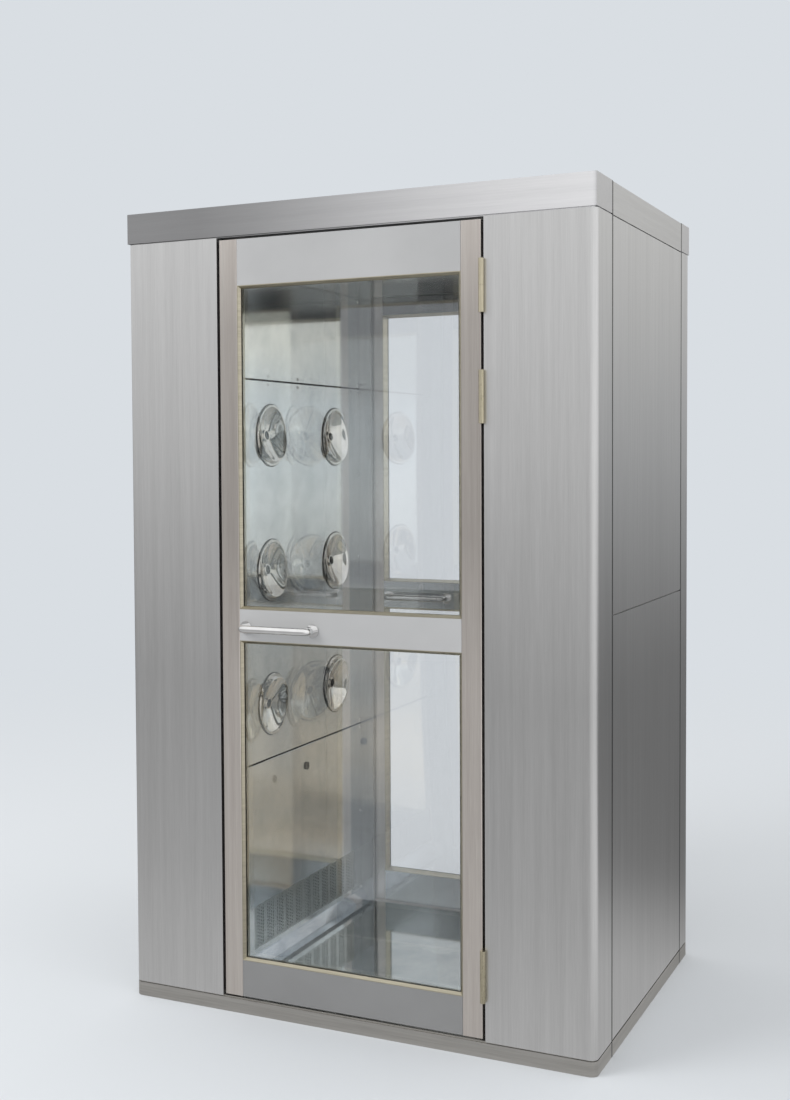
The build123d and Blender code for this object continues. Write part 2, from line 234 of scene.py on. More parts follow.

# Header band
# Folded stainless channels round the top of the cabin, ground along their length.
# They are screwed down over the panels from inside, so nothing shows but the seam.

# The streaks lie level, and a painted reflection runs the band from mid grey at its left
# end to almost white before the right corner.
header_painted_reflection = [
    (0.0, "A0A0A0"),
    (0.17, "9C9C9C"),
    (0.3, "AAAAAA"),
    (0.43, "BEBEBE"),
    (0.56, "D2D2D2"),
    (0.68, "E2E2E2"),
    (0.8, "EEEEEE"),
    (0.995, "FAFAFA"),
    (1.0, "D6D6D6"),
]
finish_with(
    steel(
        "lengthwise_hairline_stainless",
        tones=("F0F0F2", "FCFCFE"),
        mark=(60.0, 1.0, 1.0),
        roughness=0.36,
        relief=0.006,
        fade=header_painted_reflection,
        along="X",
    ),
    "header_front",
    "header_rear",
)
# On the side strips the same streaks run from front to rear, in one even grey.
finish_with(
    steel(
        "header_side_hairline_stainless",
        tones=("C8C8C8", "D6D6D6"),
        mark=(1.0, 60.0, 1.0),
        roughness=0.36,
        relief=0.006,
    ),
    "header_sides",
)

# Plinth
# Folded stainless ring on which the cabin stands, ground along its length and scuffed
# by shoes and mops.

# The scuffs make it duller, darker and a little browner than the panels.
finish_with(
    steel(
        "scuffed_plinth_stainless",
        tones=("B0AEAA", "C8C6C2"),
        mark=(60.0, 60.0, 1.0),
        roughness=0.4,
        relief=0.02,
    ),
    "base_frame",
)

# Chamber lining
# Bright rolled stainless sheet, left with the mill's mirror-like surface and screwed to
# the inner frame. Its upper, nozzle and return panels meet in two open joints.
JOINT_HEIGHTS = tuple(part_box("nozzle_panels")[end][2] for end in (0, 1))
# Painted shade in the open joints: how far to each side of a joint it reaches, and its tone.
JOINT_REACH = 2.2 * MM
JOINT_SHADE_TONE = "2C2C2C"
# The rolls leave fine upright marks and handling leaves broad smears, both sizes in mm.
ROLLING_MARK = (2.0, 2.0, 83.3)
SMEAR = 111.1
ROLLING_SPREAD = 0.3


def bright_steel(name, tones, roughness, wave, depth, joints=()):
    """Bright rolled sheet. wave is the length of its waves in mm and depth their height.
    joints are the heights of the open joints, which turn in and are darkened by painted shade."""
    material, tree = new_material(name)
    place = add(tree, "ShaderNodeTexCoord").outputs["Object"]
    waves = add(
        tree,
        "ShaderNodeTexNoise",
        {"Vector": place, "Scale": 1 / (wave * MM), "Detail": 1.0, "Roughness": 0.4},
    )
    scale = [1 / (length * MM) for length in ROLLING_MARK]
    mark = add(tree, "ShaderNodeMapping", {"Vector": place, "Scale": scale})
    grain = add(tree, "ShaderNodeTexNoise", {"Vector": mark.outputs[0], "Scale": 1.0, "Detail": 3.0})
    smears = add(
        tree,
        "ShaderNodeTexNoise",
        {"Vector": place, "Scale": 1 / (SMEAR * MM), "Detail": 5.0, "Roughness": 0.6},
    )
    tone = add(
        tree,
        "ShaderNodeValToRGB",
        {"Fac": smears.outputs[0]},
        stops=[(0.3, tones[0]), (0.7, tones[1])],
    )
    colour = tone.outputs["Color"]
    where = add(tree, "ShaderNodeSeparateXYZ", {"Vector": place}).outputs if joints else None
    # Painted shade in each open joint.
    for joint in joints:
        in_joint = add(
            tree, "ShaderNodeMath", {0: where["Z"], 1: joint, 2: JOINT_REACH}, operation="COMPARE"
        )
        colour = add(
            tree,
            "ShaderNodeMix",
            {0: in_joint.outputs[0], 6: colour, 7: linear(JOINT_SHADE_TONE)},
            data_type="RGBA",
        ).outputs[2]
    rough = add(
        tree,
        "ShaderNodeMapRange",
        {
            "Value": grain.outputs[0],
            "To Min": roughness * (1 - ROLLING_SPREAD),
            "To Max": roughness * (1 + ROLLING_SPREAD),
        },
    )
    bump = add(
        tree,
        "ShaderNodeBump",
        {"Height": waves.outputs[0], "Strength": 1.0, "Distance": depth * MM},
    )
    shader = add(
        tree,
        "ShaderNodeBsdfPrincipled",
        {
            "Base Color": colour,
            "Metallic": 1.0,
            "Roughness": rough.outputs["Result"],
            "Normal": bump.outputs["Normal"],
        },
    )
    add(tree, "ShaderNodeOutputMaterial", {"Surface": shader.outputs[0]})
    return material


# A slightly blurred mirror, bent by the long shallow waves that a thin sheet takes when
# it is screwed down.
finish_with(
    bright_steel(
        "bright_rolled_lining",
        tones=("E2E6E8", "F8FAFB"),
        roughness=0.1,
        wave=320.0,
        depth=0.9,
        joints=JOINT_HEIGHTS,
    ),
    "upper_wall_panels",
    "nozzle_panels",
    "return_panels",
    "ceiling_panel",
)

# Chamber floor and kick strips
# The floor plate is a polished sheet, and the kick strips at the foot of the walls are
# folded from the same sheet, with a rounded lip along their top.

# The plate is the sharper mirror of the two and shows the grilles and the doors upside
# down. The strips show little but one light line along their lip.
finish_with(
    bright_steel(
        "polished_floor_plate",
        tones=("D2D8DA", "ECF0F1"),
        roughness=0.07,
        wave=500.0,
        depth=0.8,
    ),
    "floor_plate",
)
finish_with(
    bright_steel(
        "polished_kick_strip",
        tones=("C6CCD4", "E6ECF2"),
        roughness=0.12,
        wave=500.0,
        depth=0.6,
    ),
    "floor_skirting",
)

# Return air grilles
# A thin stainless plate over the duct at the foot of each wall, with round holes punched
# through it in groups of staggered columns. It takes the place of a CAD grille, whose
# holes are fewer and square.
GRILLE_GROUPS = 11
GROUP_PITCH = 60 * MM
HOLE_COLUMNS = 4
COLUMN_PITCH = 11 * MM
HOLE_ROWS = 12
ROW_PITCH = 9.4 * MM
HOLE_RADIUS = 3.1 * MM
HOLE_SIDES = 10
PLATE_THICKNESS = 1.5 * MM
PUNCH_LENGTH = 4 * PLATE_THICKNESS
CAD_GRILLE_THICKNESS = 4 * MM

grille_low, grille_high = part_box("return_grilles")
grille_along, grille_middle = ((grille_low[axis] + grille_high[axis]) / 2 for axis in (1, 2))
wall_face = -(grille_high[0] - CAD_GRILLE_THICKNESS)


def deselect():
    bpy.ops.object.select_all(action="DESELECT")


def apply_modifiers(piece):
    bpy.context.view_layer.objects.active = piece
    for modifier in list(piece.modifiers):
        bpy.ops.object.modifier_apply(modifier=modifier.name)


def array(piece, count, step):
    """Repeats a piece in a row at a constant step."""
    row = piece.modifiers.new("row", "ARRAY")
    row.count = count
    row.use_relative_offset = False
    row.use_constant_offset = True
    row.constant_offset_displace = step


def cut_away(piece, cutter):
    """Cuts a piece by another one, which is then removed."""
    cut = piece.modifiers.new("cut", "BOOLEAN")
    cut.operation = "DIFFERENCE"
    cut.solver = "EXACT"
    cut.object = cutter
    apply_modifiers(piece)
    bpy.data.objects.remove(cutter)


def settle(piece):
    """Puts a finished piece's place into its mesh."""
    deselect()
    piece.select_set(True)
    bpy.context.view_layer.objects.active = piece
    bpy.ops.object.transform_apply(location=True, rotation=True, scale=True)
    piece.select_set(False)


def stand_at(piece, matrix, name):
    """A copy of a piece, with its own mesh, at a place."""
    twin = piece.copy()
    twin.data = piece.data.copy()
    twin.name = name
    bpy.context.scene.collection.objects.link(twin)
    twin.data.transform(matrix)
    return twin


def mirrored_copy(piece, name):
    """A copy of a left-hand piece for the right side, with its faces turned outwards again."""
    twin = stand_at(piece, Matrix.Scale(-1, 4, (1, 0, 0)), name)
    twin.data.flip_normals()
    return twin


def punched_plate():
    """The left grille: a thin plate with its holes punched."""
    length = grille_high[1] - grille_low[1]
    height = grille_high[2] - grille_low[2]
    half_way = wall_face - PLATE_THICKNESS / 2
    bpy.ops.mesh.primitive_cube_add(size=1, location=(half_way, grille_along, grille_middle))
    plate = bpy.context.object
    plate.scale = (PLATE_THICKNESS, length, height)
    settle(plate)
    for staggered in (0, 1):
        deselect()
        first = -(HOLE_COLUMNS - 1) / 2 + staggered
        start = grille_along - (GRILLE_GROUPS - 1) / 2 * GROUP_PITCH + first * COLUMN_PITCH
        foot = -(HOLE_ROWS - 1) / 2 * ROW_PITCH + (staggered - 0.5) / 2 * ROW_PITCH
        bpy.ops.mesh.primitive_cylinder_add(
            vertices=HOLE_SIDES,
            radius=HOLE_RADIUS,
            depth=PUNCH_LENGTH,
            location=(half_way, start, grille_middle + foot),
            rotation=(0, math.pi / 2, 0),
        )
        punch = bpy.context.object
        settle(punch)
        array(punch, HOLE_ROWS, (0, 0, ROW_PITCH))
        array(punch, HOLE_COLUMNS // 2, (0, 2 * COLUMN_PITCH, 0))
        array(punch, GRILLE_GROUPS, (0, GROUP_PITCH, 0))
        apply_modifiers(punch)
        cut_away(plate, punch)
    return plate


left_grille = punched_plate()
left_grille.name = "left_punched_grille"
# The plate is dull beside the lining, so its holes stand out as dark dots.
left_grille.data.materials.append(
    steel(
        "punched_grille_stainless",
        tones=("C6CAC8", "DEE2E0"),
        mark=(1.0, 40.0, 1.0),
        roughness=0.32,
        relief=0.01,
    )
)
right_grille = mirrored_copy(left_grille, "right_punched_grille")
for grille in (left_grille, right_grille):
    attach(grille, "cabinet")
    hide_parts("return_grilles")

# Wall screws
# Stainless pan-head screws with a cross recess hold the lining panels to the frame,
# at the ends and middle of each joint and up the edges.
HEAD_RADIUS = 4.5 * MM
HEAD_HEIGHT = 2.6 * MM
HEAD_SIDES = 20
HEAD_ROUNDING = HEAD_HEIGHT * 0.55
ROUNDING_STEPS = 3
CROSS_LENGTH = HEAD_RADIUS * 1.1
CROSS_WIDTH = HEAD_RADIUS * 0.22
CROSS_CUT = HEAD_HEIGHT * 0.9
CROSS_TURN = 0.7
SCREW_INSET = 12 * MM
SCREW_OVER_STRIP = 46 * MM
EDGE_SCREW_HEIGHTS = (340, 900, 1165, 1430)


def pan_head():
    """One screw head that stands on the origin and looks up."""
    bpy.ops.mesh.primitive_cylinder_add(
        vertices=HEAD_SIDES, radius=HEAD_RADIUS, depth=HEAD_HEIGHT, location=(0, 0, HEAD_HEIGHT / 2)
    )
    head = bpy.context.object
    bpy.ops.object.mode_set(mode="EDIT")
    bpy.ops.mesh.select_mode(type="EDGE")
    bpy.ops.mesh.select_all(action="DESELECT")
    bpy.ops.object.mode_set(mode="OBJECT")
    for edge in head.data.edges:
        edge.select = min(head.data.vertices[v].co.z for v in edge.vertices) > 0
    bpy.ops.object.mode_set(mode="EDIT")
    bpy.ops.mesh.bevel(offset=HEAD_ROUNDING, segments=ROUNDING_STEPS)
    bpy.ops.object.mode_set(mode="OBJECT")
    settle(head)
    for turn in (0, math.pi / 2):
        bpy.ops.mesh.primitive_cube_add(size=1, location=(0, 0, HEAD_HEIGHT), rotation=(0, 0, turn))
        cross_bar = bpy.context.object
        cross_bar.scale = (CROSS_LENGTH, CROSS_WIDTH, CROSS_CUT)
        settle(cross_bar)
        cut_away(head, cross_bar)
    return head


def join(pieces, name):
    """Joins pieces to one piece with a name."""
    deselect()
    for piece in pieces:
        piece.select_set(True)
    bpy.context.view_layer.objects.active = pieces[0]
    bpy.ops.object.join()
    joined = bpy.context.object
    joined.name = name
    return joined


floor_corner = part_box("floor_plate")[1]
wall_end = floor_corner[1] - SCREW_INSET
ceiling_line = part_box("upper_wall_panels")[1][2]
screw_places = []
for height in JOINT_HEIGHTS:
    for along in (-wall_end, 0, wall_end):
        screw_places.append((along, height - SCREW_INSET))
        screw_places.append((along, height + SCREW_INSET))
edge_heights = [
    floor_corner[2] + SCREW_OVER_STRIP,
    *(height * MM for height in EDGE_SCREW_HEIGHTS),
    ceiling_line - SCREW_INSET,
]
for along in (-wall_end, wall_end):
    for height in edge_heights:
        screw_places.append((along, height))

screw_head = pan_head()
screws = []
for index, (along, height) in enumerate(screw_places):
    driven = Matrix.Rotation(math.pi / 2, 4, "Y") @ Matrix.Rotation(index * CROSS_TURN, 4, "Z")
    screws.append(
        stand_at(screw_head, Matrix.Translation((wall_face, along, height)) @ driven, "wall_screw")
    )
bpy.data.objects.remove(screw_head)
left_screws = join(screws, "left_wall_screws")
# The heads are turned bright, so each one is a light dot with a dark cross.
left_screws.data.materials.append(
    bright_steel(
        "turned_screw_stainless", tones=("C8C8C6", "E8E8E6"), roughness=0.2, wave=8.0, depth=0.02
    )
)
right_screws = mirrored_copy(left_screws, "right_wall_screws")
for group in (left_screws, right_screws):
    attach(group, "cabinet")

# Door frames and seals
# Satin stainless jambs, head and stop, folded and welded at the corners, with a black
# rubber strip on the stop that the leaf closes against.

# The satin grind leaves a mid grey with soft edges in its mirror, so each frame reads as
# a plain border round its door.
finish_with(
    steel(
        "satin_frame_stainless",
        tones=("909292", "A8AAAA"),
        mark=(1.0, 1.0, 60.0),
        roughness=0.3,
        relief=0.01,
    ),
    "front_door_frame",
    "rear_door_frame",
    "front_door_stop",
    "rear_door_stop",
)

PLASTIC_RELIEF = 0.05 * MM


def plain_plastic(name, tones, roughness, grain):
    """Moulded rubber or plastic. grain is the size of its surface grain in mm."""
    material, tree = new_material(name)
    place = add(tree, "ShaderNodeTexCoord").outputs["Object"]
    speckle = add(
        tree, "ShaderNodeTexNoise", {"Vector": place, "Scale": 1 / (grain * MM), "Detail": 3.0}
    )
    tone = add(
        tree,
        "ShaderNodeValToRGB",
        {"Fac": speckle.outputs[0]},
        stops=[(0.3, tones[0]), (0.7, tones[1])],
    )
    bump = add(
        tree,
        "ShaderNodeBump",
        {"Height": speckle.outputs[0], "Strength": 0.4, "Distance": PLASTIC_RELIEF},
    )
    shader = add(
        tree,
        "ShaderNodeBsdfPrincipled",
        {
            "Base Color": tone.outputs["Color"],
            "Roughness": roughness,
            "IOR": 1.5,
            "Normal": bump.outputs["Normal"],
        },
    )
    add(tree, "ShaderNodeOutputMaterial", {"Surface": shader.outputs[0]})
    return material


# Extruded rubber: a matt black line with hardly any shine.
finish_with(
    plain_plastic("black_epdm_seal", tones=("0C0C0C", "191919"), roughness=0.6, grain=1.5),
    "door_seals",
)

# Photo sensors
# A black moulded eye is pressed into each wall above the grille, with a dark lens in
# its recess.

# Moulded smooth: a black dot with one small highlight.
finish_with(
    plain_plastic("black_sensor_housing", tones=("101112", "202224"), roughness=0.3, grain=1.0),
    "photo_sensors",
)

# Air nozzles
# Turned and polished stainless: a flanged ring is fixed to the wall over a thin rubber
# gasket, and a ball with a dished mouth swivels in it. Each turned ball takes the place
# of a CAD ball of the same size, whose facets would break up its mirror.
NOZZLE_RINGS = ("right_nozzle_rings", "left_nozzle_rings")
nozzle_balls = [
    name for name in frame["nodes"] if name.startswith("nozzle_") and name != "nozzle_panels"
]
# A clear mirror, a little warm. The lathe's faint rings blur it only slightly.
polished = bright_steel(
    "polished_nozzle_stainless", tones=("DCD8D0", "F8F6F2"), roughness=0.05, wave=60.0, depth=0.08
)
finish_with(polished, *NOZZLE_RINGS, *nozzle_balls)

BALL_RADIUS = 83 * MM
MOUTH_ANGLE = math.radians(74)
MOUTH_RIM = 3 * MM
RIM_ROLL = 0.4 * MM
DISH_DEPTH = 24 * MM
DISH_SAG = 2.5 * MM
THROAT_RADIUS = 13 * MM
TUBE_WALL = 3 * MM
COLLAR_HEIGHT = 3 * MM
THROAT_LENGTH = 12 * MM
BACK_OF_DISH = 2 * TUBE_WALL
BACK_OF_RIM = 4 * TUBE_WALL
TURNED_SIDES = 72
DISH_STEPS = 8
BALL_STEPS = 6
SMOOTH_UNDER = math.radians(25)
WELD = 0.01 * MM
FACE_MARGIN = 0.1 * MM
# Each row's aim at rest, in degrees above level, as the CAD balls have it.
NOZZLE_AIMS = {"low": -6.0, "middle": 6.0, "high": 9.0}

GASKET_INNER = 87 * MM
GASKET_OUTER = 90.5 * MM
GASKET_FOOT = 0.1 * MM
GASKET_HEIGHT = 1.6 * MM
GASKET_CHAMFER = 0.3 * MM


def turned(profile):
    """A lathe-turned closed piece about Z, from its half section as radius and height."""
    radius, height = profile[0]
    bpy.ops.mesh.primitive_circle_add(vertices=TURNED_SIDES, radius=radius, location=(0, 0, height))
    piece = bpy.context.object
    bpy.ops.object.mode_set(mode="EDIT")
    bpy.ops.mesh.select_mode(type="EDGE")
    bpy.ops.mesh.select_all(action="SELECT")
    for next_radius, next_height in [*profile[1:], profile[0]]:
        grown = next_radius / radius
        bpy.ops.mesh.extrude_edges_move(
            TRANSFORM_OT_translate={"value": (0, 0, next_height - height)}
        )
        bpy.ops.transform.resize(value=(grown, grown, 1), center_override=(0, 0, 0))
        radius, height = next_radius, next_height
    bpy.ops.mesh.select_all(action="SELECT")
    bpy.ops.mesh.remove_doubles(threshold=WELD)
    bpy.ops.mesh.normals_make_consistent(inside=False)
    bpy.ops.object.mode_set(mode="OBJECT")
    settle(piece)
    piece.select_set(True)
    bpy.ops.object.shade_smooth_by_angle(angle=SMOOTH_UNDER)
    deselect()
    return piece


def ball_profile():
    """Half section of the ball: sphere, rolled rim, dished mouth, collar, throat tube, back."""
    lip = BALL_RADIUS * math.cos(MOUTH_ANGLE)
    tube = THROAT_RADIUS + TUBE_WALL
    foot = lip - DISH_DEPTH
    rim = BALL_RADIUS * math.sin(MOUTH_ANGLE) - MOUTH_RIM
    section = []
    for step in range(BALL_STEPS + 1):
        angle = math.pi - MOUTH_ANGLE + step / BALL_STEPS * (2 * MOUTH_ANGLE - math.pi)
        section.append((BALL_RADIUS * math.sin(angle), BALL_RADIUS * math.cos(angle)))
    section.append((rim + MOUTH_RIM / 2, lip + RIM_ROLL))
    for step in range(DISH_STEPS + 1):
        share = step / DISH_STEPS
        sag = DISH_SAG * math.sin(math.pi * share)
        section.append((rim + share * (tube - rim), lip + share * (foot - lip) - sag))
    section += [
        (tube, foot + COLLAR_HEIGHT),
        (THROAT_RADIUS, foot + COLLAR_HEIGHT),
        (THROAT_RADIUS, foot - THROAT_LENGTH),
        (tube, foot - THROAT_LENGTH),
        (tube, foot - BACK_OF_DISH),
        (rim, lip - BACK_OF_RIM),
        (rim, -lip),
    ]
    return section


gasket_profile = [
    (GASKET_INNER, GASKET_FOOT),
    (GASKET_OUTER, GASKET_FOOT),
    (GASKET_OUTER - GASKET_CHAMFER, GASKET_HEIGHT),
    (GASKET_INNER, GASKET_HEIGHT),
]
ball = turned(ball_profile())
gasket = turned(gasket_profile)
ball.data.materials.append(polished)
# Left as drilled, and coloured near black as painted shade, so the throat reads as a black hole.
ball.data.materials.append(
    steel(
        "throat_painted_shade",
        tones=("1A1A1A", "2A2A2A"),
        mark=(2.0, 2.0, 2.0),
        roughness=0.5,
        relief=0.01,
    )
)
# The faces inside the throat take the painted shade.
for face in ball.data.polygons:
    if math.hypot(face.center.x, face.center.y) < THROAT_RADIUS + FACE_MARGIN:
        face.material_index = 1

gaskets = {"right": [], "left": []}
for joint in frame["record"]["behaviour"]["joints"]:
    node = joint["child"]
    if node not in nozzle_balls:
        continue
    side, level = node.split("_")[1:3]
    inwards = -1 if side == "right" else 1
    aim = math.radians(NOZZLE_AIMS[level])
    aimed = Vector((inwards * math.cos(aim), 0, math.sin(aim))).to_track_quat("Z", "Y")
    ball_place = Matrix.Translation(joint["pos_m"]) @ aimed.to_matrix().to_4x4()
    nozzle = stand_at(ball, ball_place, node.replace("nozzle", "turned_nozzle"))
    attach(nozzle, node)
    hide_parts(node)
    on_wall = Matrix.Translation((inwards * wall_face, joint["pos_m"][1], joint["pos_m"][2]))
    gasket_place = on_wall @ Matrix.Rotation(inwards * math.pi / 2, 4, "Y")
    gaskets[side].append(stand_at(gasket, gasket_place, side + "_gasket"))
bpy.data.objects.remove(ball)
bpy.data.objects.remove(gasket)

# Cut from rubber sheet: a fine dark outline between each ring and the bright wall.
gasket_rubber = plain_plastic(
    "black_nozzle_gasket", tones=("141414", "222222"), roughness=0.55, grain=1.5
)
for side, rings in gaskets.items():
    joined_rings = join(rings, side + "_nozzle_gaskets")
    joined_rings.data.materials.append(gasket_rubber)
    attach(joined_rings, "cabinet")

# Door leaves
# Satin stainless stiles with three rails let in between them, and beads that hold the
# panes. The rails are enamelled outside and bare ground steel on the chamber side.

# A slightly warm grey in long upright streaks, with a painted reflection that makes it
# darker above the middle rail.
finish_with(
    steel(
        "satin_stile_stainless",
        tones=("D4CCC6", "E8E2DC"),
        mark=(1.0, 1.0, 60.0),
        roughness=0.33,
        relief=0.01,
        fade=[(0.0, "FFFFFF"), (0.42, "FFFFFF"), (0.6, "DEDEDE"), (0.85, "D8D8D8"), (1.0, "F4F4F4")],
    ),
    "front_door_stiles",
    "rear_door_stiles",
)

rail_inner, rail_outer = (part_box("rear_door_rails")[end][1] for end in (0, 1))
CHAMBER_SIDE = (rail_inner + rail_outer) / 2
# Sizes in mm: the dimples of the sprayed coat, its depth, and the clouds in its tone.
ORANGE_PEEL = 2.0
PEEL_DEPTH = 0.03
ENAMEL_CLOUD = 200.0
GROUND_ROUGHNESS = 0.22
# Painted shade on the bare chamber side of the rails, darkening it towards the top.
bare_steel_painted_shade = [(0.0, "C4C8CA"), (0.55, "C4C8CA"), (0.86, "868888")]


def satin_enamel(name, tones, roughness, fade):
    """Sprayed enamel with faint orange peel, with painted shade from fade, foot to top. On the
    side facing the chamber the steel is left bare and ground, with painted shade near the top."""
    material, tree = new_material(name)
    place = add(tree, "ShaderNodeTexCoord").outputs["Object"]
    peel = add(
        tree, "ShaderNodeTexNoise", {"Vector": place, "Scale": 1 / (ORANGE_PEEL * MM), "Detail": 1.0}
    )
    cloud = add(
        tree, "ShaderNodeTexNoise", {"Vector": place, "Scale": 1 / (ENAMEL_CLOUD * MM), "Detail": 3.0}
    )
    tone = add(
        tree,
        "ShaderNodeValToRGB",
        {"Fac": cloud.outputs[0]},
        stops=[(0.3, tones[0]), (0.7, tones[1])],
    )
    where = add(tree, "ShaderNodeSeparateXYZ", {"Vector": place}).outputs
    height = add(tree, "ShaderNodeMath", {0: where["Z"], 1: cad_box[1][2]}, operation="DIVIDE")
    painted_light = add(tree, "ShaderNodeValToRGB", {"Fac": height.outputs[0]}, stops=fade)
    colour = add(
        tree,
        "ShaderNodeMix",
        {0: 1.0, 6: tone.outputs["Color"], 7: painted_light.outputs["Color"]},
        data_type="RGBA",
        blend_type="MULTIPLY",
    )
    depth = add(tree, "ShaderNodeMath", {0: where["Y"]}, operation="ABSOLUTE")
    bare = add(
        tree, "ShaderNodeMath", {0: depth.outputs[0], 1: CHAMBER_SIDE}, operation="LESS_THAN"
    )
    # Painted shade that darkens the bare chamber side towards its top.
    ground = add(tree, "ShaderNodeValToRGB", {"Fac": height.outputs[0]}, stops=bare_steel_painted_shade)
    skin = add(
        tree,
        "ShaderNodeMix",
        {0: bare.outputs[0], 6: colour.outputs[2], 7: ground.outputs["Color"]},
        data_type="RGBA",
    )
    gloss = add(
        tree,
        "ShaderNodeMapRange",
        {"Value": bare.outputs[0], "To Min": roughness, "To Max": GROUND_ROUGHNESS},
    )
    bump = add(
        tree,
        "ShaderNodeBump",
        {"Height": peel.outputs[0], "Strength": 0.3, "Distance": PEEL_DEPTH * MM},
    )
    shader = add(
        tree,
        "ShaderNodeBsdfPrincipled",
        {
            "Base Color": skin.outputs[2],
            "Metallic": bare.outputs[0],
            "Roughness": gloss.outputs["Result"],
            "IOR": 1.5,
            "Normal": bump.outputs["Normal"],
        },
    )
    add(tree, "ShaderNodeOutputMaterial", {"Surface": shader.outputs[0]})
    return material


# An even pale grey without streaks, with painted shade that dims the low rail.
finish_with(
    satin_enamel(
        "satin_grey_rail",
        tones=("B3B3B3", "BBBBBB"),
        roughness=0.42,
        fade=[(0.1, "BEBEBE"), (0.4, "FFFFFF"), (1.0, "FAFAFA")],
    ),
    "front_door_rails",
    "rear_door_rails",
)
# A thin line of pale gold satin round each pane.
finish_with(
    steel(
        "champagne_glazing_bead",
        tones=("B0AA98", "C8C2AE"),
        mark=(30.0, 30.0, 1.0),
        roughness=0.3,
        relief=0.01,
    ),
    "front_door_beads",
    "rear_door_beads",
)

# Panes
# Clear toughened glass, 8 mm thick, held between the beads of each leaf. Toughening
# leaves it very slightly wavy.
PANE_WAVE = 333.3
PANE_WAVE_DEPTH = 0.1

# It hardly tints what lies behind it and mirrors faintly. Its alpha lets most light
# through unbent, so the chamber stays as bright as in the photo.
glass, glass_tree = new_material("clear_toughened_glass")
pane_place = add(glass_tree, "ShaderNodeTexCoord").outputs["Object"]
pane_waves = add(
    glass_tree,
    "ShaderNodeTexNoise",
    {"Vector": pane_place, "Scale": 1 / (PANE_WAVE * MM), "Detail": 1.0},
)
pane_bump = add(
    glass_tree,
    "ShaderNodeBump",
    {"Height": pane_waves.outputs[0], "Strength": 0.2, "Distance": PANE_WAVE_DEPTH * MM},
)
pane_shader = add(
    glass_tree,
    "ShaderNodeBsdfPrincipled",
    {
        "Base Color": linear("F2F4F5"),
        "Roughness": 0.0,
        "IOR": 1.5,
        "Specular IOR Level": 0.3,
        "Transmission Weight": 1.0,
        "Alpha": 0.2,
        "Normal": pane_bump.outputs["Normal"],
    },
)
add(glass_tree, "ShaderNodeOutputMaterial", {"Surface": pane_shader.outputs[0]})
finish_with(glass, "front_door_glass", "rear_door_glass")

# Pull bars
# Bent and polished stainless tube on two rosettes, one bar outside and one inside each
# leaf, bolted through the middle rail.

# A clear mirror: one white line along the tube with a darker one below it.
finish_with(
    bright_steel(
        "polished_pull_stainless",
        tones=("D6D6D6", "F2F2F2"),
        roughness=0.05,
        wave=90.0,
        depth=0.05,
    ),
    "front_door_pulls",
    "rear_door_pulls",
)

# Butt hinges
# Nickelled plates and knuckles: the lower half with its pin is screwed to the frame,
# and the upper one to the leaf.

# Satin nickel is yellower than the steel round it, so the hinges show as brassy marks.
finish_with(
    steel(
        "satin_nickel_hinge",
        tones=("B4AC94", "D4CCB4"),
        mark=(0.6, 0.6, 12.0),
        roughness=0.28,
        relief=0.008,
    ),
    "hinge_frame_halves",
    "front_door_hinge_halves",
    "rear_door_hinge_halves",
)

# Studio floor
# A pale matt floor that fades into the backdrop before its edge shows. Mirrors don't
# show it as it is: the outer panels and the chamber each mirror tones of their own, which
# are matched to the photo.
BACKDROP = "D9DEE3"
FLOOR_RADIUS = 12.0
FLOOR_SIDES = 64
FLOOR_DROP = 0.5 * MM
FADE_FROM = 2.2
FADE_TO = 6.5
# Distances in metres from the cabin's middle, over which the mirrored tones change.
OUTER_REACH = 4.0
CHAMBER_REACH = 8.0
RIGHT_FROM, RIGHT_TO = 0.8, 1.8
REAR_END, FRONT_END = 1.2, 0.2
# The panes take some light from all that the chamber mirrors, and this makes up for it.
WINDOW_GAIN = 1.35


def ray_history(tree):
    """A ray's Light Path outputs, whether it passed a pane, whether it bounced off a
    mirror, and the strength of what it meets."""
    path = add(tree, "ShaderNodeLightPath").outputs
    through_pane, bounced = (
        add(tree, "ShaderNodeMath", {0: path[depth], 1: 0.5}, operation="GREATER_THAN").outputs[0]
        for depth in ("Transmission Depth", "Glossy Depth")
    )
    gain = add(
        tree, "ShaderNodeMapRange", {"Value": through_pane, "To Min": 1.0, "To Max": WINDOW_GAIN}
    )
    return path, through_pane, bounced, gain.outputs["Result"]


floor_material, floor_tree = new_material("pale_studio_floor")
path, through_pane, bounced, gain = ray_history(floor_tree)
floor_place = add(floor_tree, "ShaderNodeTexCoord").outputs["Object"]
floor_axes = add(floor_tree, "ShaderNodeSeparateXYZ", {"Vector": floor_place}).outputs
reach = add(floor_tree, "ShaderNodeVectorMath", {0: floor_place}, operation="LENGTH")
far = add(
    floor_tree,
    "ShaderNodeMapRange",
    {"Value": reach.outputs["Value"], "From Min": FADE_FROM, "From Max": FADE_TO},
)
faded = add(
    floor_tree,
    "ShaderNodeMath",
    {0: far.outputs["Result"], 1: path["Is Transmission Ray"]},
    operation="MAXIMUM",
)
matt = add(floor_tree, "ShaderNodeBsdfDiffuse", {"Color": linear("DEE2E6")})
glow = add(floor_tree, "ShaderNodeEmission", {"Color": linear(BACKDROP), "Strength": 1.0})
seen_floor = add(
    floor_tree, "ShaderNodeMixShader", {0: faded.outputs[0], 1: matt.outputs[0], 2: glow.outputs[0]}
)

